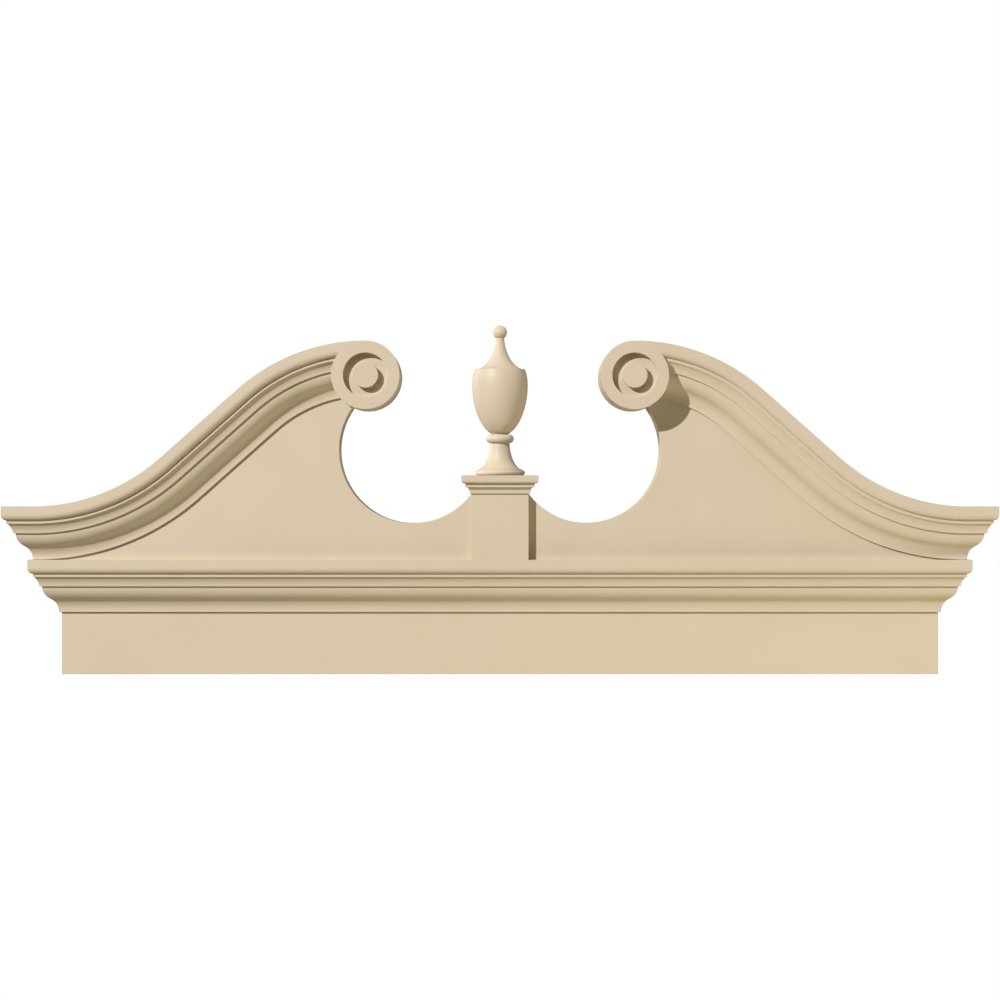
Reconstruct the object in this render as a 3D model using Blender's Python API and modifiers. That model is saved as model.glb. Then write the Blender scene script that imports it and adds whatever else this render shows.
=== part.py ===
"""Rams head pediment: a broken-scroll door head of tan-primed built-up millwork.

Metres, +Z up. The front faces -Y, the back lies on the wall plane y = 0, and x = 0 is the middle.
The origin is the middle of the frieze board's back, where the pediment is fastened to the wall.
Depths are counted forward from the wall, so a point at depth d has y = -d.
"""

import math

import bmesh
import bpy
from mathutils import Vector

# Gap between two pieces that meet.
JOINT_GAP = 0.0003

# Frieze board. Its reveal is the height that shows below the level moulding.
FRIEZE_WIDTH = 1.372
FRIEZE_REVEAL = 0.0975
FRIEZE_THICKNESS = 0.0254

# Crown moulding, one section for the level and the raking runs. The members come from the top
# down, and the cyma fills what they leave of the height and the projection.
CROWN_HEIGHT = 0.0825
CROWN_PROJECTION = 0.0448
FASCIA_HEIGHT = 0.0123
OVOLO_HEIGHT = 0.0083
OVOLO_DEPTH = 0.0055
FILLET_STEP = 0.0016
FILLET_HEIGHT = 0.0062
HOLLOW_STEP = 0.0037
HOLLOW_HEIGHT = 0.0148
HOLLOW_DEPTH = 0.0050
HOLLOW_SAG = 0.0008
CYMA_STEP = 0.0033
LIP_HEIGHT = 0.0019
LIP_PROJECTION = 0.0036

# Tympanum board. The setbacks are measured from the level moulding's fascia.
TYMPANUM_FRONT_SETBACK = 0.0155
TYMPANUM_SIDE_SETBACK = 0.0101

# Raking mouldings. The rise runs from the level end to the crest over the scroll.
RAKE_RISE = 0.2546
RAKE_LEVEL_RUN = 0.0028
RAKE_SLOPE = math.radians(41.6)

# Scrolls. The heel is the length of crest that is as deep as the scroll.
SCROLL_OFFSET = 0.2068
SCROLL_RADIUS = 0.0527
SCROLL_HEEL = 0.0200
EYE_RECESS_RADIUS = 0.0342
EYE_BUTTON_RADIUS = 0.0196
EYE_RECESS_DEPTH = 0.0110

# Cut-outs. Each springs from the foot of a scroll and lands on the corner of the neck.
SCROLL_FOOT_ANGLE = math.radians(245.3)
CUTOUT_CENTRE_LIFT = 0.0016
NECK_MARGIN = 0.0003

# Pedestal and its cap.
PEDESTAL_WIDTH = 0.0885
PEDESTAL_HEIGHT = 0.1022
PEDESTAL_THICKNESS = 0.0142
CAP_PROJECTION = 0.0152
CAP_FASCIA_HEIGHT = 0.0123
CAP_EDGE_RADIUS = 0.0036
CAP_FILLET_STEP = 0.0024
CAP_FILLET_HEIGHT = 0.0059
CAP_COVE_STEP = 0.0015
CAP_COVE_HEIGHT = 0.0081
CAP_LIP_HEIGHT = 0.0017
CAP_LIP_PROJECTION = 0.0030

# Urn, a turned piece. Heights are the heights of its members, from the foot up.
URN_WALL_CLEARANCE = 0.0005
FOOT_RADIUS = 0.0389
FOOT_HEIGHT = 0.0078
FOOT_STEP = 0.0012
STEM_RADIUS = 0.0150
STEM_HEIGHT = 0.0413
RING_RADIUS = 0.0216
RING_HEIGHT = 0.0132
BOWL_NECK_RADIUS = 0.0115
BOWL_RADIUS = 0.0433
BOWL_LOWER_HEIGHT = 0.0774
BOWL_UPPER_HEIGHT = 0.0228
BOWL_SHOULDER_STEP = 0.0038
SHOULDER_EDGE_RADIUS = 0.0012
LID_HEIGHT = 0.0488
FINIAL_NECK_RADIUS = 0.0066
BALL_RADIUS = 0.0109

# Fineness of the round stretches.
LOWER_ARC_STEPS = 12
UPPER_ARC_STEPS = 13
CYMA_ARC_STEPS = 6
OVOLO_STEPS = 4
CIRCLE_STEPS = 64
CUTOUT_STEPS = 44
TURNED_STEPS = 32
BALL_STEPS = 7
FLARE_STEPS = 8
SHOULDER_STEPS = 2
BOWL_UPPER_STEPS = 4
BOWL_LOWER_STEPS = 10
RING_STEPS = 6
FOOT_STEPS = 4

# Bend of the turned flares: 2 is a straight slope, and more hollows them out.
FLARE_POWER = 3.33

# Places that follow from the sizes, as depths from the wall and heights over the underside.
CROWN_TOP = FRIEZE_REVEAL + CROWN_HEIGHT
DATUM_HEIGHT = CROWN_TOP / 2
CORNICE_FRONT = FRIEZE_THICKNESS + JOINT_GAP + CROWN_PROJECTION
TYMPANUM_THICKNESS = CORNICE_FRONT - TYMPANUM_FRONT_SETBACK
TYMPANUM_HALF_WIDTH = FRIEZE_WIDTH / 2 + JOINT_GAP + CROWN_PROJECTION - TYMPANUM_SIDE_SETBACK
TYMPANUM_BASE = CROWN_TOP + JOINT_GAP
RAKE_TOP = TYMPANUM_BASE + CROWN_HEIGHT
RAKE_BACK = TYMPANUM_THICKNESS + JOINT_GAP
RAKE_FRONT = RAKE_BACK + CROWN_PROJECTION
RAKE_SPAN = TYMPANUM_HALF_WIDTH + JOINT_GAP - RAKE_LEVEL_RUN - SCROLL_OFFSET
CREST_HEIGHT = RAKE_TOP + RAKE_RISE
SCROLL_HEIGHT = CREST_HEIGHT - SCROLL_RADIUS
PEDESTAL_TOP = TYMPANUM_BASE + PEDESTAL_HEIGHT
PEDESTAL_FRONT = RAKE_BACK + PEDESTAL_THICKNESS
CAP_BASE = PEDESTAL_TOP + JOINT_GAP
CAP_HEIGHT = CAP_FASCIA_HEIGHT + CAP_FILLET_HEIGHT + CAP_COVE_HEIGHT + CAP_LIP_HEIGHT
URN_BASE = CAP_BASE + CAP_HEIGHT + JOINT_GAP
URN_DEPTH = BOWL_RADIUS + URN_WALL_CLEARANCE

PRIMER_COLOUR = "DACAAA"
PRIMER_ROUGHNESS = 0.55
SHARP_ANGLE = math.radians(28)

DOWN = Vector((0, 0, -1))
LEFT = Vector((-1, 0, 0))
FORWARD = Vector((0, -1, 0))


def place(x, depth, height):
    """The point at x, this far forward of the wall and this high over the underside."""
    return Vector((x, -depth, height - DATUM_HEIGHT))


def arc(centre, radii, start, end, steps):
    """Points of an elliptic arc from angle start to angle end, both ends included."""
    angles = [start + (end - start) * i / steps for i in range(steps + 1)]
    return [(centre[0] + radii[0] * math.cos(a), centre[1] + radii[1] * math.sin(a)) for a in angles]


def flare(radii, heights, steps):
    """A turned hollow sweep: slim and upright at the first radius and height, flat and wide at the last."""
    points = []
    for i in range(steps + 1):
        turn = math.pi / 2 * i / steps
        radius = radii[0] + (radii[1] - radii[0]) * math.sin(turn) ** FLARE_POWER
        points.append((radius, heights[1] + (heights[0] - heights[1]) * math.cos(turn) ** FLARE_POWER))
    return points


def linear_colour(code):
    """Linear RGBA of an sRGB hex code."""
    shades = [int(code[i:i + 2], 16) / 255 for i in (0, 2, 4)]
    return [s / 12.92 if s <= 0.04045 else ((s + 0.055) / 1.055) ** 2.4 for s in shades] + [1.0]


def primer(piece):
    """Gives the piece its coat of tan primer."""
    material = bpy.data.materials.new(piece.name + "_primer")
    material.use_nodes = True
    shader = material.node_tree.nodes["Principled BSDF"]
    shader.inputs["Base Color"].default_value = linear_colour(PRIMER_COLOUR)
    shader.inputs["Roughness"].default_value = PRIMER_ROUGHNESS
    shader.inputs["Metallic"].default_value = 0.0
    piece.data.materials.append(material)


def smooth(mesh):
    """Shades the round stretches smooth and keeps the arrises sharp."""
    mesh.shade_smooth()
    mesh.set_sharp_from_angle(angle=SHARP_ANGLE)


def block(name, low, high, collection):
    """A box between two opposite corners."""
    mesh = bpy.data.meshes.new(name)
    shape = bmesh.new()
    bmesh.ops.create_cube(shape, size=1.0)
    bmesh.ops.scale(shape, vec=[abs(a - b) for a, b in zip(low, high)], verts=shape.verts)
    shape.to_mesh(mesh)
    shape.free()
    piece = bpy.data.objects.new(name, mesh)
    piece.location = (low + high) / 2
    collection.objects.link(piece)
    return piece


def board(name, outlines, front, back, collection):
    """A flat piece cut to (x, height) outlines, the edge first and then any holes."""
    curve = bpy.data.curves.new(name, "CURVE")
    curve.dimensions = "2D"
    curve.fill_mode = "BOTH"
    curve.extrude = (front - back) / 2
    for outline in outlines:
        spline = curve.splines.new("POLY")
        spline.points.add(len(outline) - 1)
        for point, (x, height) in zip(spline.points, outline):
            point.co = (x, height, 0.0, 1.0)
        spline.use_cyclic_u = True
    drawn = bpy.data.objects.new(name + "_outline", curve)
    drawn.rotation_euler = (math.pi / 2, 0.0, 0.0)
    drawn.location = place(0, (front + back) / 2, 0)
    collection.objects.link(drawn)
    bpy.context.view_layer.update()
    mesh = bpy.data.meshes.new_from_object(drawn.evaluated_get(bpy.context.evaluated_depsgraph_get()))
    mesh.name = name
    shape = bmesh.new()
    shape.from_mesh(mesh)
    bmesh.ops.remove_doubles(shape, verts=shape.verts, dist=1e-6)
    bmesh.ops.recalc_face_normals(shape, faces=shape.faces)
    shape.to_mesh(mesh)
    shape.free()
    smooth(mesh)
    piece = bpy.data.objects.new(name, mesh)
    piece.matrix_world = drawn.matrix_world.copy()
    collection.objects.link(piece)
    bpy.data.objects.remove(drawn)
    bpy.data.curves.remove(curve)
    return piece


def loft(name, rings, collection):
    """A closed solid through rings of as many points each, flat at both ends."""
    mesh = bpy.data.meshes.new(name)
    shape = bmesh.new()
    loops = [[shape.verts.new(point) for point in ring] for ring in rings]
    for near, far in zip(loops, loops[1:]):
        for i in range(len(near)):
            shape.faces.new((near[i - 1], near[i], far[i], far[i - 1]))
    shape.faces.new(loops[0])
    shape.faces.new(loops[-1])
    bmesh.ops.recalc_face_normals(shape, faces=shape.faces)
    shape.to_mesh(mesh)
    shape.free()
    smooth(mesh)
    piece = bpy.data.objects.new(name, mesh)
    collection.objects.link(piece)
    return piece


def moulding(name, section, stations, collection):
    """Carries a (drop, projection) section through stations of corner, drop and outward directions."""
    rings = [[corner + down * drop + out * projection for drop, projection in section]
             for corner, down, out in stations]
    return loft(name, rings, collection)


def crown_section():
    """The crown's section: fascia, ovolo, fillet, hollow face, cyma and lip, closed at the back."""
    drop, out = FASCIA_HEIGHT, CROWN_PROJECTION
    points = [(0.0, 0.0), (0.0, out)]
    out -= OVOLO_DEPTH
    points += arc((drop, out), (OVOLO_HEIGHT, OVOLO_DEPTH), math.pi / 2, 0.0, OVOLO_STEPS)
    drop += OVOLO_HEIGHT
    out -= FILLET_STEP
    points += [(drop, out), (drop + FILLET_HEIGHT, out)]
    drop += FILLET_HEIGHT
    out -= HOLLOW_STEP
    points.append((drop, out))
    points.append((drop + HOLLOW_HEIGHT / 2, out - HOLLOW_DEPTH / 2 - HOLLOW_SAG))
    drop += HOLLOW_HEIGHT
    out -= HOLLOW_DEPTH
    points += [(drop, out), (drop, out - CYMA_STEP)]
    points += cyma((drop, out - CYMA_STEP), (CROWN_HEIGHT - LIP_HEIGHT, LIP_PROJECTION))[1:]
    points += [(CROWN_HEIGHT, LIP_PROJECTION), (CROWN_HEIGHT, 0.0)]
    return points


def cyma(start, end):
    """Two equal arcs, round above and hollow below, upright where they start and end."""
    height = (end[0] - start[0]) / 2
    depth = (start[1] - end[1]) / 2
    turn = 2 * math.atan2(depth, height)
    radius = height / math.sin(turn)
    above = [(start[0] + radius * math.sin(a), start[1] - radius * (1 - math.cos(a)))
             for a in (turn * i / CYMA_ARC_STEPS for i in range(CYMA_ARC_STEPS + 1))]
    below = [(start[0] + end[0] - drop, start[1] + end[1] - out) for drop, out in reversed(above)]
    return above + below[1:]


def rake_radius():
    """The radius of the two arcs that join the level foot and the crest to the straight run between."""
    across = RAKE_SPAN * math.sin(RAKE_SLOPE) - RAKE_RISE * math.cos(RAKE_SLOPE)
    return across / (2 * (1 - math.cos(RAKE_SLOPE)))


def rake_line():
    """The left raking moulding's top edge as (x, height, slope) from its level foot to the crest.

    A lower arc and an upper arc bend opposite ways and a straight run touches both.
    """
    radius = rake_radius()
    foot_x = -SCROLL_OFFSET - RAKE_SPAN
    line = []
    for i in range(LOWER_ARC_STEPS + 1):
        a = RAKE_SLOPE * i / LOWER_ARC_STEPS
        line.append((foot_x + radius * math.sin(a), RAKE_TOP + radius * (1 - math.cos(a)), a))
    for i in range(UPPER_ARC_STEPS + 1):
        a = RAKE_SLOPE * (1 - i / UPPER_ARC_STEPS)
        x = -SCROLL_OFFSET - radius * math.sin(a)
        line.append((x, CREST_HEIGHT - radius * (1 - math.cos(a)), a))
    return line


def heel_corner(offset):
    """The point of the upper arc that lies this far before the crest."""
    radius = rake_radius()
    drop = radius - math.sqrt(radius ** 2 - offset ** 2)
    return -SCROLL_OFFSET - offset, CREST_HEIGHT - drop


def mirrored(outline, side):
    """The outline on the left, side -1, or flipped to the right, side 1."""
    return [(-side * x, height) for x, height in outline]


def circle(radius):
    """The points of a circle about the left scroll's centre."""
    return arc((-SCROLL_OFFSET, SCROLL_HEIGHT), (radius, radius), 0.0, math.tau, CIRCLE_STEPS)[:-1]


def scroll_outline():
    """The left scroll seen from the front: a disc with the crest's heel on its upper left."""
    heel_angle = math.acos(-SCROLL_HEEL / SCROLL_RADIUS)
    disc = arc((-SCROLL_OFFSET, SCROLL_HEIGHT), (SCROLL_RADIUS, SCROLL_RADIUS),
               heel_angle, math.pi / 2 + math.tau, CIRCLE_STEPS)
    crest = [(x, height) for x, height, slope in rake_line() if -SCROLL_OFFSET - SCROLL_HEEL < x]
    return disc[:-1] + crest[::-1] + [heel_corner(SCROLL_HEEL)]


def cutout_arc(foot, corner):
    """The cut-out's edge from the scroll's foot, down and round to the neck's corner."""
    chord = Vector(corner) - Vector(foot)
    lift = Vector((-chord.y, chord.x)).normalized() * CUTOUT_CENTRE_LIFT
    centre = (Vector(foot) + Vector(corner)) / 2 + lift
    radius = (Vector(foot) - centre).length
    start = math.atan2(foot[1] - centre.y, foot[0] - centre.x) % math.tau
    end = math.atan2(corner[1] - centre.y, corner[0] - centre.x) % math.tau
    return arc(centre, (radius, radius), start, end, CUTOUT_STEPS)


def tympanum_outline():
    """The tympanum's edge: up its side, along the raking top edge, round both scrolls and cut-outs."""
    heel = SCROLL_HEEL + JOINT_GAP
    clear = SCROLL_RADIUS + JOINT_GAP
    scroll = (-SCROLL_OFFSET, SCROLL_HEIGHT)
    left = [(-TYMPANUM_HALF_WIDTH, TYMPANUM_BASE), (-TYMPANUM_HALF_WIDTH, RAKE_TOP)]
    left += [(x, height) for x, height, slope in rake_line() if x < -SCROLL_OFFSET - heel]
    left.append(heel_corner(heel))
    scroll_steps = round(CIRCLE_STEPS * (SCROLL_FOOT_ANGLE - math.pi / 2) / math.tau)
    around = arc(scroll, (clear, clear), math.acos(-heel / clear), SCROLL_FOOT_ANGLE, scroll_steps)
    corner = (-PEDESTAL_WIDTH / 2 - NECK_MARGIN, PEDESTAL_TOP)
    left += around + cutout_arc(around[-1], corner)[1:]
    return left + mirrored(left, 1)[::-1]


def frieze_board(collection):
    """The flat board that carries the level moulding."""
    half = FRIEZE_WIDTH / 2
    return block("frieze_board", place(-half, FRIEZE_THICKNESS, 0), place(half, 0, CROWN_TOP), collection)


def cornice_moulding(collection):
    """The level crown, mitred round the frieze board's front corners and back to the wall."""
    half = FRIEZE_WIDTH / 2 + JOINT_GAP
    depth = FRIEZE_THICKNESS + JOINT_GAP
    stations = [
        (place(-half, 0, CROWN_TOP), DOWN, LEFT),
        (place(-half, depth, CROWN_TOP), DOWN, LEFT + FORWARD),
        (place(half, depth, CROWN_TOP), DOWN, FORWARD - LEFT),
        (place(half, 0, CROWN_TOP), DOWN, -LEFT),
    ]
    return moulding("cornice_moulding", crown_section(), stations, collection)


def tympanum_board(collection):
    """The pierced board behind the raking mouldings."""
    return board("tympanum_board", [tympanum_outline()], TYMPANUM_THICKNESS, 0, collection)


def raking_moulding(name, side, collection, cutters):
    """A raking crown with its mitred return and its scroll, on the left, side -1, or the right."""
    half = TYMPANUM_HALF_WIDTH + JOINT_GAP
    outward = LEFT * -side
    stations = [
        (place(side * half, 0, RAKE_TOP), DOWN, outward),
        (place(side * half, RAKE_BACK, RAKE_TOP), DOWN, outward + FORWARD),
    ]
    for x, height, slope in rake_line():
        down = Vector((-side * math.sin(slope), 0, -math.cos(slope)))
        stations.append((place(-side * x, RAKE_BACK, height), down, FORWARD))
    piece = moulding(name, crown_section(), stations, collection)
    scroll = board(name + "_scroll", [mirrored(scroll_outline(), side)], RAKE_FRONT, 0, cutters)
    rims = [mirrored(circle(EYE_RECESS_RADIUS), side), mirrored(circle(EYE_BUTTON_RADIUS), side)]
    # The groove's cutter stands out in front of the face by as much as it is deep.
    ring = board(name + "_eye", rims, RAKE_FRONT + EYE_RECESS_DEPTH, RAKE_FRONT - EYE_RECESS_DEPTH, cutters)
    for tool, operation in ((scroll, "UNION"), (ring, "DIFFERENCE")):
        tool.hide_render = True
        tool.display_type = "WIRE"
        step = piece.modifiers.new(tool.name, "BOOLEAN")
        step.operation = operation
        step.solver = "EXACT"
        step.object = tool
    return piece


def pedestal_block(collection):
    """The flat block planted on the tympanum between the cut-outs."""
    half = PEDESTAL_WIDTH / 2
    low = place(-half, PEDESTAL_FRONT, TYMPANUM_BASE)
    return block("pedestal_block", low, place(half, RAKE_BACK, PEDESTAL_TOP), collection)


def cap_section():
    """The cap's (height over its base, projection) section, from the underside up."""
    out = CAP_LIP_PROJECTION
    fillet_out = CAP_PROJECTION - CAP_EDGE_RADIUS - CAP_FILLET_STEP
    cove_out = fillet_out - CAP_COVE_STEP
    points = [(0.0, out)]
    height = CAP_LIP_HEIGHT
    points += arc((height, cove_out), (CAP_COVE_HEIGHT, cove_out - out), -math.pi / 2, 0.0, OVOLO_STEPS)
    height += CAP_COVE_HEIGHT
    points += [(height, fillet_out), (height + CAP_FILLET_HEIGHT, fillet_out)]
    height += CAP_FILLET_HEIGHT + CAP_EDGE_RADIUS
    edge = (CAP_EDGE_RADIUS, CAP_EDGE_RADIUS)
    points += arc((height, CAP_PROJECTION - CAP_EDGE_RADIUS), edge, math.pi, math.pi / 2, OVOLO_STEPS)
    points.append((CAP_HEIGHT, CAP_PROJECTION))
    return points


def pedestal_cap(collection):
    """The moulded cap, which wraps the neck and the pedestal on three sides."""
    rings = []
    for height, out in cap_section():
        half = PEDESTAL_WIDTH / 2 + out
        front = PEDESTAL_FRONT + out
        corners = ((-half, 0), (-half, front), (half, front), (half, 0))
        rings.append([place(x, depth, CAP_BASE + height) for x, depth in corners])
    return loft("pedestal_cap", rings, collection)


def urn_profile():
    """The urn's (radius, height over its base) outline, from the tip of the ball down to the foot."""
    stem_foot = FOOT_HEIGHT + FOOT_STEP
    ring_base = stem_foot + STEM_HEIGHT
    bowl_base = ring_base + RING_HEIGHT
    bowl_widest = bowl_base + BOWL_LOWER_HEIGHT
    shoulder = bowl_widest + BOWL_UPPER_HEIGHT
    lid_base = shoulder + SHOULDER_EDGE_RADIUS
    ball_base = lid_base + LID_HEIGHT
    ball_turn = math.acos(FINIAL_NECK_RADIUS / BALL_RADIUS)
    ball_centre = ball_base + BALL_RADIUS * math.sin(ball_turn)
    shoulder_radius = BOWL_RADIUS - BOWL_SHOULDER_STEP
    lid_radius = shoulder_radius - SHOULDER_EDGE_RADIUS
    upper_turn = math.acos(shoulder_radius / BOWL_RADIUS)
    lower_turn = math.acos(BOWL_NECK_RADIUS / BOWL_RADIUS)
    upper_bowl = (BOWL_RADIUS, BOWL_UPPER_HEIGHT / math.sin(upper_turn))
    lower_bowl = (BOWL_RADIUS, BOWL_LOWER_HEIGHT / math.sin(lower_turn))
    ring_edge = RING_HEIGHT / 2
    foot_edge = FOOT_HEIGHT / 2
    stem_wide = FOOT_RADIUS - foot_edge
    points = arc((0.0, ball_centre), (BALL_RADIUS, BALL_RADIUS), math.pi / 2, -ball_turn, BALL_STEPS)
    points += flare((FINIAL_NECK_RADIUS, lid_radius), (ball_base, lid_base), FLARE_STEPS)[1:]
    points += arc((lid_radius, shoulder), (SHOULDER_EDGE_RADIUS, SHOULDER_EDGE_RADIUS),
                  math.pi / 2, 0.0, SHOULDER_STEPS)[1:]
    points += arc((0.0, bowl_widest), upper_bowl, upper_turn, 0.0, BOWL_UPPER_STEPS)[1:]
    points += arc((0.0, bowl_widest), lower_bowl, 0.0, -lower_turn, BOWL_LOWER_STEPS)[1:]
    points += arc((RING_RADIUS - ring_edge, ring_base + ring_edge), (ring_edge, ring_edge),
                  math.pi / 2, -math.pi / 2, RING_STEPS)
    points += flare((STEM_RADIUS, stem_wide), (ring_base, stem_foot), FLARE_STEPS)
    points += arc((stem_wide, foot_edge), (foot_edge, foot_edge), math.pi / 2, -math.pi / 2, FOOT_STEPS)
    points.append((0.0, 0.0))
    return points


def urn_finial(collection):
    """The turned urn on the cap: ball, lid, bowl, ring, stem and foot in one."""
    mesh = bpy.data.meshes.new("urn_finial")
    shape = bmesh.new()
    line = [shape.verts.new((radius, 0.0, height)) for radius, height in urn_profile()]
    for upper, lower in zip(line, line[1:]):
        shape.edges.new((upper, lower))
    shape.to_mesh(mesh)
    shape.free()
    piece = bpy.data.objects.new("urn_finial", mesh)
    piece.location = place(0, URN_DEPTH, URN_BASE)
    collection.objects.link(piece)
    turn = piece.modifiers.new("turning", "SCREW")
    turn.axis = "Z"
    turn.angle = math.tau
    turn.steps = TURNED_STEPS
    turn.render_steps = TURNED_STEPS
    turn.use_merge_vertices = True
    turn.merge_threshold = 0.00001
    turn.use_smooth_shade = True
    return piece


def new_collection(name):
    """A collection of the scene."""
    collection = bpy.data.collections.new(name)
    bpy.context.scene.collection.children.link(collection)
    return collection


def build():
    """Clears the scene and builds the pediment, its pieces parented to one empty."""
    for old in list(bpy.data.objects):
        bpy.data.objects.remove(old)
    pieces = new_collection("rams_head_pediment")
    cutters = new_collection("cutters")
    origin = bpy.data.objects.new("pediment_origin", None)
    pieces.objects.link(origin)
    made = [
        frieze_board(pieces),
        cornice_moulding(pieces),
        tympanum_board(pieces),
        raking_moulding("raking_moulding_left", -1, pieces, cutters),
        raking_moulding("raking_moulding_right", 1, pieces, cutters),
        pedestal_block(pieces),
        pedestal_cap(pieces),
        urn_finial(pieces),
    ]
    for piece in made:
        primer(piece)
    for piece in made + list(cutters.objects):
        piece.parent = origin


build()
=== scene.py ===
"""Looks of the rams head pediment: millwork of cellular PVC under a sprayed coat of tan primer.

Metres, in the part's own frame: +Z up, the front faces -Y, the wall is y = 0, and the origin is the
middle of the frieze board's back. Depths are counted forward from the wall, so depth d is y = -d.
"""

import math

import bmesh
import bpy
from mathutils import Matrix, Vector


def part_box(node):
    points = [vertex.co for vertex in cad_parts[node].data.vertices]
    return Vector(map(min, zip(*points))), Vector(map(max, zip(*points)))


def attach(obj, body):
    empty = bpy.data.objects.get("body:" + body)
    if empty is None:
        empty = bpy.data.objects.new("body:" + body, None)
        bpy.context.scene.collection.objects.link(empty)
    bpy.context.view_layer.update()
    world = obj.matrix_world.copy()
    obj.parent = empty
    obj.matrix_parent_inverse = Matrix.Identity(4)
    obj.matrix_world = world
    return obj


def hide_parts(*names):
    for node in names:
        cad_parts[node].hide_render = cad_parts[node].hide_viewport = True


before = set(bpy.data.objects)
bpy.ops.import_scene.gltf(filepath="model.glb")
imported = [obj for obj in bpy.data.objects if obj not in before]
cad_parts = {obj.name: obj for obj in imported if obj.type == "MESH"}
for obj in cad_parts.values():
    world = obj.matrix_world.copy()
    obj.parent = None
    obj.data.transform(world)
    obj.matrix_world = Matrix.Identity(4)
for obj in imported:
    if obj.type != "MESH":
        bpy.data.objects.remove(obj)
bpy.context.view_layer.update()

MM = 0.001

# Sprayed primer leaves every arris a little round. A corner that turns by less than the least turn
# stays as it is, and none takes more than its share of the sides it joins.
ARRIS_RADIUS = 0.5 * MM
ARRIS_STEPS = 3
ARRIS_MIN_TURN = math.radians(25)
ARRIS_SHARE = 0.45

# Gap between two pieces that meet, the same as in the solids.
JOINT_GAP = 0.3 * MM

# A board's foot is let into the moulding under it by this, so the joint shows no round arris.
LET_IN = JOINT_GAP + ARRIS_RADIUS

# Members of the crown's section, from the top down. The cyma fills what they leave. The ovolo,
# fillet and hollow are rounder than in the solids by up to 2 mm, as the shading in the photo shows.
FASCIA_HEIGHT = 12.3 * MM
OVOLO_HEIGHT = 8.9 * MM
OVOLO_DEPTH = 6.1 * MM
FILLET_STEP = 1.0 * MM
FILLET_HEIGHT = 5.6 * MM
HOLLOW_STEP = 1.9 * MM
HOLLOW_HEIGHT = 14.8 * MM
HOLLOW_DEPTH = 6.8 * MM
HOLLOW_SAG = 1.5 * MM
CYMA_STEP = 3.3 * MM
LIP_HEIGHT = 1.9 * MM
LIP_PROJECTION = 3.6 * MM

# Raking mouldings and their scrolls.
RAKE_LEVEL_RUN = 2.8 * MM
RAKE_SLOPE = math.radians(41.6)
SCROLL_RADIUS = 52.7 * MM
EYE_RECESS_RADIUS = 34.2 * MM
EYE_BUTTON_RADIUS = 19.6 * MM
EYE_RECESS_DEPTH = 11.0 * MM

# Cut-outs of the tympanum.
SCROLL_FOOT_ANGLE = math.radians(245.3)
CUTOUT_CENTRE_LIFT = 1.6 * MM
NECK_MARGIN = 0.3 * MM

# Members of the pedestal's cap, from the top down.
CAP_FASCIA_HEIGHT = 12.3 * MM
CAP_EDGE_RADIUS = 3.6 * MM
CAP_FILLET_STEP = 2.4 * MM
CAP_COVE_STEP = 1.5 * MM
CAP_COVE_HEIGHT = 8.1 * MM
CAP_LIP_HEIGHT = 1.7 * MM
CAP_LIP_PROJECTION = 3.0 * MM

# Members of the urn, from the foot up. The bowl's radius and the lid's height come from the frame.
FOOT_RADIUS = 38.9 * MM
FOOT_HEIGHT = 7.8 * MM
FOOT_STEP = 1.2 * MM
STEM_RADIUS = 15.0 * MM
STEM_HEIGHT = 41.3 * MM
RING_RADIUS = 21.6 * MM
RING_HEIGHT = 13.2 * MM
BOWL_NECK_RADIUS = 11.5 * MM
BOWL_LOWER_HEIGHT = 77.4 * MM
BOWL_UPPER_HEIGHT = 22.8 * MM
BOWL_SHOULDER_STEP = 3.8 * MM
SHOULDER_EDGE_RADIUS = 1.2 * MM
FINIAL_NECK_RADIUS = 6.6 * MM
BALL_RADIUS = 10.9 * MM
FLARE_POWER = 3.33

# Tan of the primer, where the coat is full and where it is thin.
COAT_FULL = "CEBFA9"
COAT_THIN = "CBBCA4"

# Fineness of the round stretches.
RAKE_ARC_STEPS = 52
HEEL_STEPS = 5
CIRCLE_STEPS = 144
CUTOUT_STEPS = 120
SECTION_ARC_STEPS = 14
SMALL_ARC_STEPS = 8
FLARE_STEPS = 24
TURNED_STEPS = 96

# Points closer than this are one, and on the urn's axis a little further apart. Faces that meet at
# less than the angle shade smooth into each other, and the weight keeps the flat ones flat.
MERGE_DISTANCE = 0.001 * MM
AXIS_MERGE_DISTANCE = 0.01 * MM
SMOOTH_BELOW = math.radians(35)
FLAT_FACE_WEIGHT = 60

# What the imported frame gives.
frieze_low, frieze_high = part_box("frieze_board")
crown_low, crown_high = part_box("cornice_moulding")
tympanum_low, tympanum_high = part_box("tympanum_board")
rake_low, rake_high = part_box("raking_moulding_left")
block_low, block_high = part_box("pedestal_block")
cap_low, cap_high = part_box("pedestal_cap")
urn_low, urn_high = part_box("urn_finial")

CROWN_HEIGHT = crown_high.z - crown_low.z
CROWN_PROJECTION = frieze_low.y - crown_low.y - JOINT_GAP
RAKE_FRONT = -rake_low.y
RAKE_BACK = RAKE_FRONT - CROWN_PROJECTION
RAKE_TOP = rake_low.z + CROWN_HEIGHT
RAKE_HALF_WIDTH = tympanum_high.x + JOINT_GAP
CREST = rake_high.z
SCROLL_OFFSET = SCROLL_RADIUS - rake_high.x
SCROLL_CENTRE = CREST - SCROLL_RADIUS
RAKE_SPAN = RAKE_HALF_WIDTH - RAKE_LEVEL_RUN - SCROLL_OFFSET
RAKE_RISE = CREST - RAKE_TOP
CAP_PROJECTION = cap_high.x - block_high.x

LEFT = Vector((-1, 0, 0))
FORWARD = Vector((0, -1, 0))
DOWN = Vector((0, 0, -1))


# Shapes of the sections.


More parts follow.
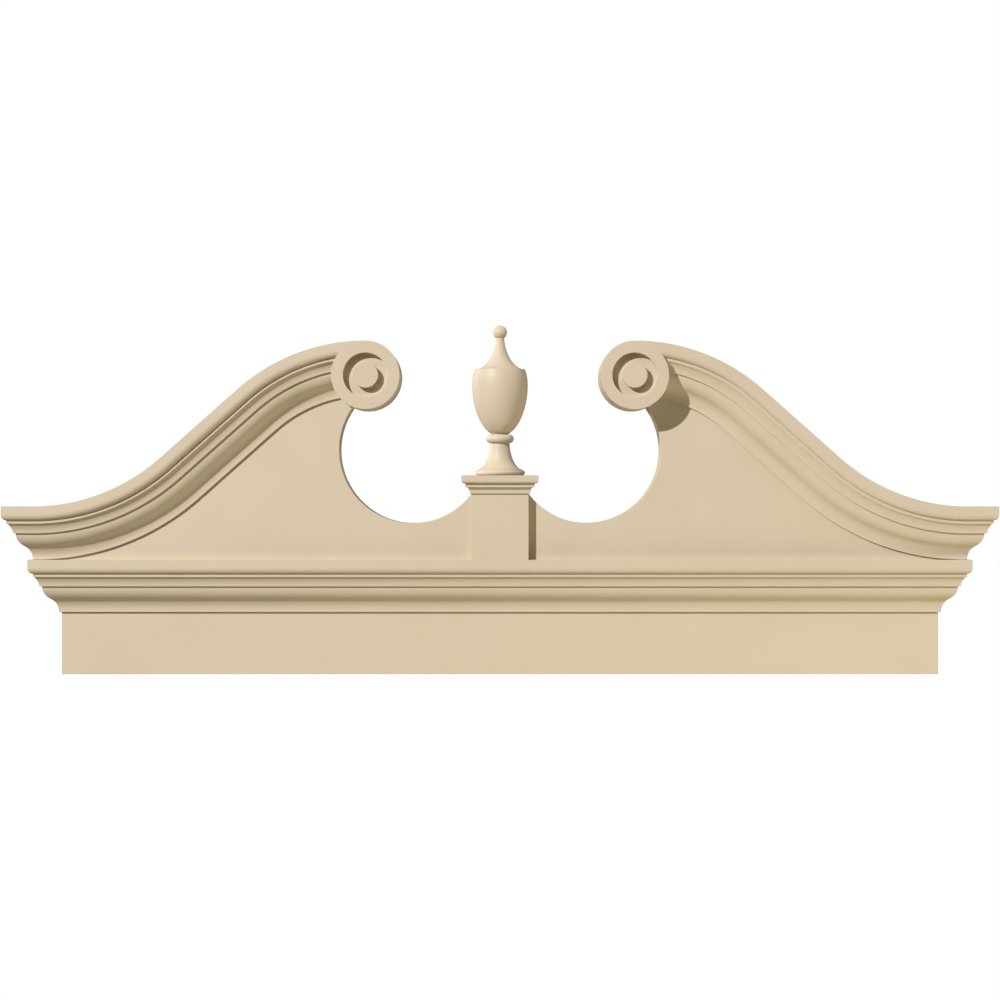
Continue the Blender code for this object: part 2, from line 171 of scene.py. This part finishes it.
def arc(centre, radii, start, end, steps):
    """Points of an elliptic arc from angle start to angle end, both ends included."""
    angles = [start + (end - start) * i / steps for i in range(steps + 1)]
    return [(centre[0] + radii[0] * math.cos(a), centre[1] + radii[1] * math.sin(a)) for a in angles]


def eased(outline, radius=ARRIS_RADIUS, closed=True):
    """The outline with each sharp corner rounded, less where its sides are too short for the radius."""
    points = [Vector(p) for i, p in enumerate(outline) if math.dist(p, outline[i - 1]) > MERGE_DISTANCE]
    made = []
    for i, corner in enumerate(points):
        before = points[i - 1] - corner
        after = points[(i + 1) % len(points)] - corner
        at_end = not closed and i in (0, len(points) - 1)
        turn = 0.0 if at_end else math.pi - before.angle(after)
        if turn < ARRIS_MIN_TURN:
            made.append(tuple(corner))
            continue
        reach = min(radius * math.tan(turn / 2), ARRIS_SHARE * before.length, ARRIS_SHARE * after.length)
        fillet = reach / math.tan(turn / 2)
        inward = (before.normalized() + after.normalized()).normalized()
        centre = corner + inward * (fillet / math.cos(turn / 2))
        start = corner + before.normalized() * reach - centre
        end = corner + after.normalized() * reach - centre
        for k in range(ARRIS_STEPS + 1):
            t = k / ARRIS_STEPS
            spoke = (start * math.sin((1 - t) * turn) + end * math.sin(t * turn)) / math.sin(turn)
            made.append(tuple(centre + spoke))
    return made


def cyma(start, end):
    """Two equal arcs, round above and hollow below, upright where they start and end."""
    height = (end[0] - start[0]) / 2
    depth = (start[1] - end[1]) / 2
    turn = 2 * math.atan2(depth, height)
    radius = height / math.sin(turn)
    angles = [turn * i / SECTION_ARC_STEPS for i in range(SECTION_ARC_STEPS + 1)]
    above = [(start[0] + radius * math.sin(a), start[1] - radius * (1 - math.cos(a))) for a in angles]
    below = [(start[0] + end[0] - drop, start[1] + end[1] - out) for drop, out in reversed(above)]
    return above + below[1:]


def crown_section():
    """The crown's (drop, projection) section: fascia, ovolo, fillet, hollow face, cyma and lip."""
    drop = FASCIA_HEIGHT
    out = CROWN_PROJECTION - OVOLO_DEPTH
    points = [(0.0, 0.0), (0.0, CROWN_PROJECTION)]
    points += arc((drop, out), (OVOLO_HEIGHT, OVOLO_DEPTH), math.pi / 2, 0.0, SMALL_ARC_STEPS)
    drop += OVOLO_HEIGHT
    out -= FILLET_STEP
    points += [(drop, out), (drop + FILLET_HEIGHT, out)]
    drop += FILLET_HEIGHT
    out -= HOLLOW_STEP
    chord = HOLLOW_DEPTH / HOLLOW_HEIGHT
    for i in range(SMALL_ARC_STEPS + 1):
        along = HOLLOW_HEIGHT * i / SMALL_ARC_STEPS
        sag = HOLLOW_SAG * math.sin(math.pi * i / SMALL_ARC_STEPS)
        points.append((drop + along, out - chord * along - sag))
    drop += HOLLOW_HEIGHT
    out -= HOLLOW_DEPTH + CYMA_STEP
    points += cyma((drop, out), (CROWN_HEIGHT - LIP_HEIGHT, LIP_PROJECTION))
    points += [(CROWN_HEIGHT, LIP_PROJECTION), (CROWN_HEIGHT, 0.0)]
    return points


def cap_section():
    """The cap's (height over its base, projection) section, from the underside up."""
    height = cap_high.z - cap_low.z
    fillet_out = CAP_PROJECTION - CAP_EDGE_RADIUS - CAP_FILLET_STEP
    cove_out = fillet_out - CAP_COVE_STEP
    cove_top = CAP_LIP_HEIGHT + CAP_COVE_HEIGHT
    edge_top = height - CAP_FASCIA_HEIGHT + CAP_EDGE_RADIUS
    cove = (CAP_COVE_HEIGHT, cove_out - CAP_LIP_PROJECTION)
    edge = (CAP_EDGE_RADIUS, CAP_EDGE_RADIUS)
    points = [(0.0, 0.0), (0.0, CAP_LIP_PROJECTION)]
    points += arc((CAP_LIP_HEIGHT, cove_out), cove, -math.pi / 2, 0.0, SMALL_ARC_STEPS)
    points += [(cove_top, fillet_out), (edge_top - CAP_EDGE_RADIUS, fillet_out)]
    points += arc((edge_top, CAP_PROJECTION - CAP_EDGE_RADIUS), edge, math.pi, math.pi / 2,
                  SMALL_ARC_STEPS)
    points += [(height, CAP_PROJECTION), (height, 0.0)]
    return eased(points)[2 + ARRIS_STEPS:-(ARRIS_STEPS + 1)]


def flare(radii, heights):
    """A turned hollow sweep, slim and upright at the first radius and height, flat at the last."""
    points = []
    for i in range(FLARE_STEPS + 1):
        turn = math.pi / 2 * i / FLARE_STEPS
        radius = radii[0] + (radii[1] - radii[0]) * math.sin(turn) ** FLARE_POWER
        points.append((radius, heights[1] + (heights[0] - heights[1]) * math.cos(turn) ** FLARE_POWER))
    return points


def urn_profile():
    """The urn's (radius, height over its base) outline, from the tip of the ball down to the foot."""
    bowl_radius = urn_high.x
    stem_foot = FOOT_HEIGHT + FOOT_STEP
    ring_base = stem_foot + STEM_HEIGHT
    bowl_base = ring_base + RING_HEIGHT
    bowl_widest = bowl_base + BOWL_LOWER_HEIGHT
    shoulder = bowl_widest + BOWL_UPPER_HEIGHT
    ball_turn = math.acos(FINIAL_NECK_RADIUS / BALL_RADIUS)
    ball_centre = urn_high.z - urn_low.z - BALL_RADIUS
    ball_base = ball_centre - BALL_RADIUS * math.sin(ball_turn)
    shoulder_radius = bowl_radius - BOWL_SHOULDER_STEP
    lid_radius = shoulder_radius - SHOULDER_EDGE_RADIUS
    upper_turn = math.acos(shoulder_radius / bowl_radius)
    lower_turn = math.acos(BOWL_NECK_RADIUS / bowl_radius)
    upper_bowl = (bowl_radius, BOWL_UPPER_HEIGHT / math.sin(upper_turn))
    lower_bowl = (bowl_radius, BOWL_LOWER_HEIGHT / math.sin(lower_turn))
    edge = (SHOULDER_EDGE_RADIUS, SHOULDER_EDGE_RADIUS)
    ring_edge = RING_HEIGHT / 2
    foot_edge = FOOT_HEIGHT / 2
    stem_wide = FOOT_RADIUS - foot_edge
    right = math.pi / 2
    points = arc((0.0, ball_centre), (BALL_RADIUS, BALL_RADIUS), right, -ball_turn, FLARE_STEPS)
    points += flare((FINIAL_NECK_RADIUS, lid_radius), (ball_base, shoulder + SHOULDER_EDGE_RADIUS))[1:]
    points += arc((lid_radius, shoulder), edge, right, 0.0, SMALL_ARC_STEPS)[1:]
    points += arc((0.0, bowl_widest), upper_bowl, upper_turn, 0.0, SECTION_ARC_STEPS)[1:]
    points += arc((0.0, bowl_widest), lower_bowl, 0.0, -lower_turn, FLARE_STEPS)[1:]
    points += arc((RING_RADIUS - ring_edge, ring_base + ring_edge), (ring_edge, ring_edge),
                  right, -right, SECTION_ARC_STEPS)
    points += flare((STEM_RADIUS, stem_wide), (ring_base, stem_foot))
    points += arc((stem_wide, foot_edge), (foot_edge, foot_edge), right, -right, SECTION_ARC_STEPS)
    points.append((0.0, 0.0))
    return eased(points, closed=False)


# Lines of the raking mouldings and the tympanum, all drawn for the left side.


def rake_radius():
    """The radius of the two arcs that join the level foot and the crest to the straight run between."""
    across = RAKE_SPAN * math.sin(RAKE_SLOPE) - RAKE_RISE * math.cos(RAKE_SLOPE)
    return across / (2 * (1 - math.cos(RAKE_SLOPE)))


def rake_line():
    """The left raking moulding's top edge as (x, z, slope) from its level foot to the crest."""
    radius = rake_radius()
    foot_x = -SCROLL_OFFSET - RAKE_SPAN
    line = []
    for i in range(RAKE_ARC_STEPS + 1):
        a = RAKE_SLOPE * i / RAKE_ARC_STEPS
        line.append((foot_x + radius * math.sin(a), RAKE_TOP + radius * (1 - math.cos(a)), a))
    for i in range(RAKE_ARC_STEPS + 1):
        a = RAKE_SLOPE * (1 - i / RAKE_ARC_STEPS)
        x = -SCROLL_OFFSET - radius * math.sin(a)
        line.append((x, CREST - radius * (1 - math.cos(a)), a))
    return line


def circle_point(radius, angle):
    """A point at this angle round the left scroll's centre."""
    return -SCROLL_OFFSET + radius * math.cos(angle), SCROLL_CENTRE + radius * math.sin(angle)


def scroll_spokes():
    """The left scroll's edge as (x, z, inward x, inward z): the disc, then the heel under the crest."""
    crest = rake_line()[-1 - HEEL_STEPS:]
    heel = -SCROLL_OFFSET - crest[0][0]
    start = math.acos(-heel / SCROLL_RADIUS)
    end = math.pi / 2 + math.tau
    spokes = []
    for i in range(CIRCLE_STEPS):
        a = start + (end - start) * i / CIRCLE_STEPS
        spokes.append((*circle_point(SCROLL_RADIUS, a), -math.cos(a), -math.sin(a)))
    return spokes + [(x, z, math.sin(slope), -math.cos(slope)) for x, z, slope in reversed(crest)]


def cutout_arc(foot, corner):
    """The cut-out's edge from the scroll's foot, down and round to the neck's corner."""
    chord = Vector(corner) - Vector(foot)
    lift = Vector((-chord.y, chord.x)).normalized() * CUTOUT_CENTRE_LIFT
    centre = (Vector(foot) + Vector(corner)) / 2 + lift
    radius = (Vector(foot) - centre).length
    start = math.atan2(foot[1] - centre.y, foot[0] - centre.x) % math.tau
    end = math.atan2(corner[1] - centre.y, corner[0] - centre.x) % math.tau
    return arc(centre, (radius, radius), start, end, CUTOUT_STEPS)


def tympanum_outline():
    """The tympanum's edge: up its side, along the raking top edge, round both scrolls and cut-outs."""
    line = rake_line()
    heel = -SCROLL_OFFSET - line[-1 - HEEL_STEPS][0] + JOINT_GAP
    clear = SCROLL_RADIUS + JOINT_GAP
    radius = rake_radius()
    heel_z = CREST - radius + math.sqrt(radius ** 2 - heel ** 2)
    left = [(-tympanum_high.x, tympanum_low.z - LET_IN), (-tympanum_high.x, RAKE_TOP)]
    left += [(x, z) for x, z, slope in line if x < -SCROLL_OFFSET - heel]
    left.append((-SCROLL_OFFSET - heel, heel_z))
    around = arc((-SCROLL_OFFSET, SCROLL_CENTRE), (clear, clear), math.acos(-heel / clear),
                 SCROLL_FOOT_ANGLE, CIRCLE_STEPS // 2)
    corner = (-block_high.x - NECK_MARGIN, block_high.z)
    left += around + cutout_arc(around[-1], corner)[1:]
    return left + [(-x, z) for x, z in reversed(left)]


# Meshes.


def finished(name, shape):
    """An object with this mesh: round stretches shade smooth, and flat faces stay flat beside them."""
    bmesh.ops.remove_doubles(shape, verts=shape.verts, dist=MERGE_DISTANCE)
    bmesh.ops.recalc_face_normals(shape, faces=shape.faces)
    mesh = bpy.data.meshes.new(name)
    shape.to_mesh(mesh)
    shape.free()
    mesh.shade_smooth()
    mesh.set_sharp_from_angle(angle=SMOOTH_BELOW)
    piece = bpy.data.objects.new(name, mesh)
    bpy.context.scene.collection.objects.link(piece)
    return piece


def lofted(rings):
    """A closed mesh through rings of as many points each, flat at both ends."""
    shape = bmesh.new()
    loops = [[shape.verts.new(point) for point in ring] for ring in rings]
    for near, far in zip(loops, loops[1:]):
        for i in range(len(near)):
            shape.faces.new((near[i - 1], near[i], far[i], far[i - 1]))
    shape.faces.new(loops[0])
    shape.faces.new(loops[-1])
    return shape


def run_of_moulding(section, stations):
    """Carries a (drop, projection) section through stations of corner, drop and outward directions."""
    return lofted([[corner + down * drop + out * projection for drop, projection in section]
                   for corner, down, out in stations])


def cut_board(outline, front, back):
    """A flat board cut to an (x, z) outline, with eased arrises, from depth back to depth front."""
    curve = bpy.data.curves.new("board_outline", "CURVE")
    curve.dimensions = "2D"
    curve.fill_mode = "BOTH"
    curve.extrude = (front - back) / 2 - ARRIS_RADIUS
    curve.bevel_depth = ARRIS_RADIUS
    curve.bevel_resolution = ARRIS_STEPS - 1
    curve.offset = -ARRIS_RADIUS
    spline = curve.splines.new("POLY")
    spline.points.add(len(outline) - 1)
    for point, (x, z) in zip(spline.points, outline):
        point.co = (x, z, 0.0, 1.0)
    spline.use_cyclic_u = True
    drawn = bpy.data.objects.new("board_outline", curve)
    drawn.rotation_euler = (math.pi / 2, 0.0, 0.0)
    drawn.location = FORWARD * (front + back) / 2
    bpy.context.scene.collection.objects.link(drawn)
    bpy.context.view_layer.update()
    mesh = bpy.data.meshes.new_from_object(drawn.evaluated_get(bpy.context.evaluated_depsgraph_get()))
    shape = bmesh.new()
    shape.from_mesh(mesh)
    bmesh.ops.transform(shape, matrix=drawn.matrix_world, verts=shape.verts)
    bpy.data.objects.remove(drawn)
    bpy.data.curves.remove(curve)
    bpy.data.meshes.remove(mesh)
    return shape


def board(name, outline, front):
    """A finished board whose back lies on the wall."""
    return finished(name, cut_board(outline, front, 0.0))


def oblong(half, low, high):
    """The outline of a board that is square-cut all round."""
    return [(-half, low), (-half, high), (half, high), (half, low)]


def level_crown():
    """The level crown, mitred round the frieze board's front corners and back to the wall."""
    half = frieze_high.x + JOINT_GAP
    depth = JOINT_GAP - frieze_low.y
    top = crown_high.z
    stations = [
        (Vector((-half, 0, top)), DOWN, LEFT),
        (Vector((-half, -depth, top)), DOWN, LEFT + FORWARD),
        (Vector((half, -depth, top)), DOWN, FORWARD - LEFT),
        (Vector((half, 0, top)), DOWN, -LEFT),
    ]
    return finished("level_crown_moulding", run_of_moulding(eased(crown_section()), stations))


def scroll_body(side):
    """The scroll from the wall to its face, with the sunk ring round its button."""
    spokes = scroll_spokes()
    angles = [math.atan2(z - SCROLL_CENTRE, x + SCROLL_OFFSET) for x, z, inward_x, inward_z in spokes]
    rim = eased([(0.0, 0.0), (0.0, CROWN_PROJECTION), (SCROLL_RADIUS, CROWN_PROJECTION)], closed=False)
    floor = CROWN_PROJECTION - EYE_RECESS_DEPTH
    eye = eased([(SCROLL_RADIUS, CROWN_PROJECTION), (EYE_RECESS_RADIUS, CROWN_PROJECTION),
                 (EYE_RECESS_RADIUS, floor), (EYE_BUTTON_RADIUS, floor),
                 (EYE_BUTTON_RADIUS, CROWN_PROJECTION), (0.0, CROWN_PROJECTION)], closed=False)
    rings = [[(x, z, -RAKE_BACK) for x, z, inward_x, inward_z in spokes]]
    for inset, out in rim[1:-1]:
        rings.append([(x + dx * inset, z + dz * inset, out) for x, z, dx, dz in spokes])
    for radius, out in eye[1:-1]:
        rings.append([(*circle_point(radius, a), out) for a in angles])
    return lofted([[Vector((-side * x, -RAKE_BACK - out, z)) for x, z, out in ring] for ring in rings])


def plug(side):
    """A cylinder inside the scroll, which keeps the moulding's members out of the eye."""
    radius = (SCROLL_RADIUS + EYE_RECESS_RADIUS) / 2
    ring = [circle_point(radius, math.tau * i / CIRCLE_STEPS) for i in range(CIRCLE_STEPS)]
    return lofted([[Vector((-side * x, -depth, z)) for x, z in ring] for depth in (0.0, 2 * RAKE_FRONT)])


def raking_crown(name, side):
    """A raking crown with its mitred return and its scroll, on the left (-1) or the right (1)."""
    outward = LEFT * -side
    foot = Vector((side * RAKE_HALF_WIDTH, 0, RAKE_TOP))
    stations = [(foot, DOWN, outward), (foot + FORWARD * RAKE_BACK, DOWN, outward + FORWARD)]
    for x, z, slope in rake_line():
        down = Vector((-side * math.sin(slope), 0, -math.cos(slope)))
        stations.append((Vector((-side * x, -RAKE_BACK, z)), down, FORWARD))
    piece = finished(name, run_of_moulding(eased(crown_section()), stations))
    for tool, operation in ((plug(side), "DIFFERENCE"), (scroll_body(side), "UNION")):
        cutter = finished("tool", tool)
        step = piece.modifiers.new("join", "BOOLEAN")
        step.operation = operation
        step.solver = "EXACT"
        step.object = cutter
        bpy.context.view_layer.update()
        joined = piece.evaluated_get(bpy.context.evaluated_depsgraph_get())
        made = bpy.data.meshes.new_from_object(joined)
        piece.modifiers.clear()
        piece.data = made
        bpy.data.objects.remove(cutter)
    shape = bmesh.new()
    shape.from_mesh(piece.data)
    bpy.data.objects.remove(piece)
    return finished(name, shape)


def moulded_cap():
    """The pedestal's cap, which wraps the neck and the pedestal on three sides."""
    rings = []
    for height, out in cap_section():
        half = block_high.x + out
        front = block_low.y - out
        z = cap_low.z + height
        rings.append([(-half, 0.0, z), (-half, front, z), (half, front, z), (half, 0.0, z)])
    return finished("moulded_cap", lofted(rings))


def turned_urn():
    """The urn, turned in one from ball to foot."""
    shape = bmesh.new()
    line = [shape.verts.new((radius, 0.0, height)) for radius, height in urn_profile()]
    edges = [shape.edges.new(pair) for pair in zip(line, line[1:])]
    bmesh.ops.spin(shape, geom=line + edges, cent=(0, 0, 0), axis=(0, 0, 1), angle=math.tau,
                   steps=TURNED_STEPS)
    bmesh.ops.remove_doubles(shape, verts=shape.verts, dist=AXIS_MERGE_DISTANCE)
    axis = Vector((0.0, (urn_low.y + urn_high.y) / 2, urn_low.z))
    bmesh.ops.translate(shape, vec=axis, verts=shape.verts)
    return finished("turned_urn", shape)


# Finishes.


def linear(code):
    """Linear RGBA of an sRGB hex code."""
    shades = [int(code[i:i + 2], 16) / 255 for i in (0, 2, 4)]
    return [s / 12.92 if s <= 0.04045 else ((s + 0.055) / 1.055) ** 2.4 for s in shades] + [1.0]


def add_node(tree, kind, settings, inputs):
    """Adds a node, sets its own settings, and sets or links its inputs."""
    node = tree.nodes.new(kind)
    for key, value in settings.items():
        setattr(node, key, value)
    for key, value in inputs.items():
        if isinstance(value, bpy.types.NodeSocket):
            tree.links.new(value, node.inputs[key])
        else:
            node.inputs[key].default_value = value
    return node


def per_mm(size):
    """The texture scale that gives features of this size in millimetres."""
    return 1 / (size * MM)


def sprayed_primer(name, mark_size, mark_axis, mark_height):
    """Acrylic primer sprayed on cellular PVC: matt tan, faint orange peel, and tool marks under it.

    The marks run square to mark_axis, mark_size millimetres apart and mark_height millimetres high.
    """
    material = bpy.data.materials.new(name)
    material.use_nodes = True
    tree = material.node_tree
    shader = tree.nodes["Principled BSDF"]
    place = add_node(tree, "ShaderNodeTexCoord", {}, {}).outputs["Object"]
    # The coat varies in thickness over a hand's breadth, which shifts its shade a little.
    cloud = add_node(tree, "ShaderNodeTexNoise", {}, {
        "Vector": place, "Scale": per_mm(90), "Detail": 3.0, "Roughness": 0.5})
    # Dried spray droplets are about 0.5 mm wide, too fine to show, so they are drawn at 2.5 mm.
    speckle = add_node(tree, "ShaderNodeTexNoise", {}, {
        "Vector": place, "Scale": per_mm(2.5), "Detail": 2.0, "Roughness": 0.6})
    blend = add_node(tree, "ShaderNodeMath", {"operation": "MULTIPLY_ADD"}, {
        0: speckle.outputs["Fac"], 1: 0.35, 2: cloud.outputs["Fac"]})
    shade = add_node(tree, "ShaderNodeMapRange", {}, {
        "Value": blend.outputs["Value"], "From Min": 0.45, "From Max": 0.9})
    colour = add_node(tree, "ShaderNodeMix", {"data_type": "RGBA"}, {
        "Factor": shade.outputs["Result"], "A": linear(COAT_THIN), "B": linear(COAT_FULL)})
    tree.links.new(colour.outputs["Result"], shader.inputs["Base Color"])
    sheen = add_node(tree, "ShaderNodeMapRange", {}, {
        "Value": cloud.outputs["Fac"], "From Min": 0.3, "From Max": 0.7, "To Min": 0.50, "To Max": 0.58})
    tree.links.new(sheen.outputs["Result"], shader.inputs["Roughness"])
    shader.inputs["IOR"].default_value = 1.47
    shader.inputs["Metallic"].default_value = 0.0
    # Orange peel comes in waves of 1 to 2 mm, drawn at 6 mm so that it shows.
    peel = add_node(tree, "ShaderNodeTexNoise", {}, {
        "Vector": place, "Scale": per_mm(6), "Detail": 2.0, "Roughness": 0.5})
    skin = add_node(tree, "ShaderNodeBump", {}, {
        "Height": peel.outputs["Fac"], "Strength": 1.0, "Distance": 0.05 * MM})
    marks = add_node(tree, "ShaderNodeTexWave", {"wave_type": "BANDS", "bands_direction": mark_axis}, {
        "Vector": place, "Scale": per_mm(mark_size) / 20, "Distortion": 0.6, "Detail": 1.0})
    cut = add_node(tree, "ShaderNodeBump", {}, {
        "Height": marks.outputs["Fac"], "Strength": 1.0, "Distance": mark_height * MM,
        "Normal": skin.outputs["Normal"]})
    tree.links.new(cut.outputs["Normal"], shader.inputs["Normal"])
    return material


def plain_paint(name, code, roughness):
    """Flat paint of one colour, for the studio floor."""
    material = bpy.data.materials.new(name)
    material.use_nodes = True
    shader = material.node_tree.nodes["Principled BSDF"]
    shader.inputs["Base Color"].default_value = linear(code)
    shader.inputs["Roughness"].default_value = roughness
    return material


# The pediment.

board_primer = sprayed_primer("sprayed_primer_on_planed_board", 9, "X", 0.01)
run_primer = sprayed_primer("sprayed_primer_on_milled_moulding", 4, "Z", 0.01)
turned_primer = sprayed_primer("sprayed_primer_on_turned_urn", 2.4, "Z", 0.02)

block_outline = oblong(block_high.x, block_low.z - LET_IN, block_high.z)

pieces = (
    (board("planed_frieze_board", oblong(frieze_high.x, frieze_low.z, frieze_high.z), -frieze_low.y),
     "frieze_board", board_primer),
    (level_crown(), "cornice_moulding", run_primer),
    (board("pierced_tympanum", tympanum_outline(), -tympanum_low.y), "tympanum_board", board_primer),
    (raking_crown("left_raking_crown", -1), "raking_moulding_left", run_primer),
    (raking_crown("right_raking_crown", 1), "raking_moulding_right", run_primer),
    (finished("planted_pedestal_block", cut_board(block_outline, -block_low.y, -block_high.y)),
     "pedestal_block", board_primer),
    (moulded_cap(), "pedestal_cap", run_primer),
    (turned_urn(), "urn_finial", turned_primer),
)
for piece, node, primer in pieces:
    piece.data.materials.clear()
    piece.data.materials.append(primer)
    for polygon in piece.data.polygons:
        polygon.material_index = 0
    weigh = piece.modifiers.new("flat_faces_stay_flat", "WEIGHTED_NORMAL")
    weigh.keep_sharp = True
    weigh.weight = FLAT_FACE_WEIGHT
    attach(piece, "root")
    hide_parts(node)


# The studio.

# The floor lies as far below the pediment as a door is high, and bounces no light up at it.
DOOR_HEIGHT = 2.1
FLOOR_HALF_WIDTH = 7.0

floor_mesh = bpy.data.meshes.new("studio_floor")
floor_z = frieze_low.z - DOOR_HEIGHT
floor_mesh.from_pydata([(x * FLOOR_HALF_WIDTH, y * FLOOR_HALF_WIDTH, floor_z) for x, y in (
    (-1, -1), (1, -1), (1, 1), (-1, 1))], [], [(0, 1, 2, 3)])
floor_mesh.materials.append(plain_paint("pale_floor_paint", "F4F2EE", 0.8))
floor = bpy.data.objects.new("studio_floor", floor_mesh)
bpy.context.scene.collection.objects.link(floor)
floor.visible_diffuse = False

# Lamps as name, place, aim, width, height, watts and colour. The key throws crisp shadows from the
# upper left. The others are soft: three fill from the right, from below and from above, one comes
# over the right scroll onto the urn's side, and one lights the back from behind the left.
LAMPS = (
    ("key_light", (-5.0, -6.0, 4.7), (0.0, 0.0, 0.15), 0.19, 0.19, 970, (0.99, 0.99, 1.0)),
    ("side_fill", (1.7, -0.4, 0.45), (0.1, 0.0, 0.2), 0.8, 0.8, 5.8, (0.95, 0.9, 1.0)),
    ("grazing_fill", (1.1, 0.1, 1.5), (0.0, -0.03, 0.35), 0.3, 0.3, 6.5, (1.0, 0.9, 0.75)),
    ("low_fill", (0.9, -0.7, -1.3), (0.3, 0.0, 0.0), 1.6, 1.0, 15.5, (1.0, 0.92, 0.64)),
    ("top_fill", (0.0, -1.6, 2.2), (0.0, 0.0, 0.1), 2.0, 1.0, 5.5, (1.0, 0.92, 0.64)),
    ("back_light", (-3.4, 1.9, 0.9), (0.0, 0.0, 0.15), 1.2, 1.2, 70, (1.0, 1.0, 1.0)),
)

for name, place, aim, width, height, watts, colour in LAMPS:
    lamp_data = bpy.data.lights.new(name, "AREA")
    lamp_data.shape = "RECTANGLE"
    lamp_data.size = width
    lamp_data.size_y = height
    lamp_data.energy = watts
    lamp_data.color = colour
    lamp = bpy.data.objects.new(name, lamp_data)
    lamp.location = place
    lamp.rotation_mode = "QUATERNION"
    lamp.rotation_quaternion = (Vector(aim) - Vector(place)).to_track_quat("-Z", "Y")
    bpy.context.scene.collection.objects.link(lamp)

# The room around gives a dim warm fill, and shows as white paper behind the object.
FILL_COLOUR = "FFF7D2"
FILL_STRENGTH = 0.095

world = bpy.data.worlds.new("studio_room")
bpy.context.scene.world = world
world.use_nodes = True
room = world.node_tree
fill = room.nodes["Background"]
fill.inputs["Color"].default_value = linear(FILL_COLOUR)
fill.inputs["Strength"].default_value = FILL_STRENGTH
paper = add_node(room, "ShaderNodeBackground", {}, {"Color": linear("FFFFFF"), "Strength": 1.0})
eye_ray = add_node(room, "ShaderNodeLightPath", {}, {}).outputs["Is Camera Ray"]
mixed = add_node(room, "ShaderNodeMixShader", {}, {
    0: eye_ray, 1: fill.outputs["Background"], 2: paper.outputs["Background"]})
room.links.new(mixed.outputs["Shader"], room.nodes["World Output"].inputs["Surface"])

# The camera stands square to the frieze's front, level with the raking mouldings.
CAMERA_DISTANCE = 3.6966
CAMERA_HEIGHT = 0.1827
CAMERA_LENS = 85.0

camera_data = bpy.data.cameras.new("photo_camera")
camera_data.lens = CAMERA_LENS
camera_data.sensor_width = 36.0
camera = bpy.data.objects.new("photo_camera", camera_data)
camera.location = (0.0, frieze_low.y - CAMERA_DISTANCE, CAMERA_HEIGHT)
camera.rotation_euler = (math.pi / 2, 0.0, 0.0)
bpy.context.scene.collection.objects.link(camera)
bpy.context.scene.camera = camera
bpy.context.scene.view_settings.view_transform = "Standard"
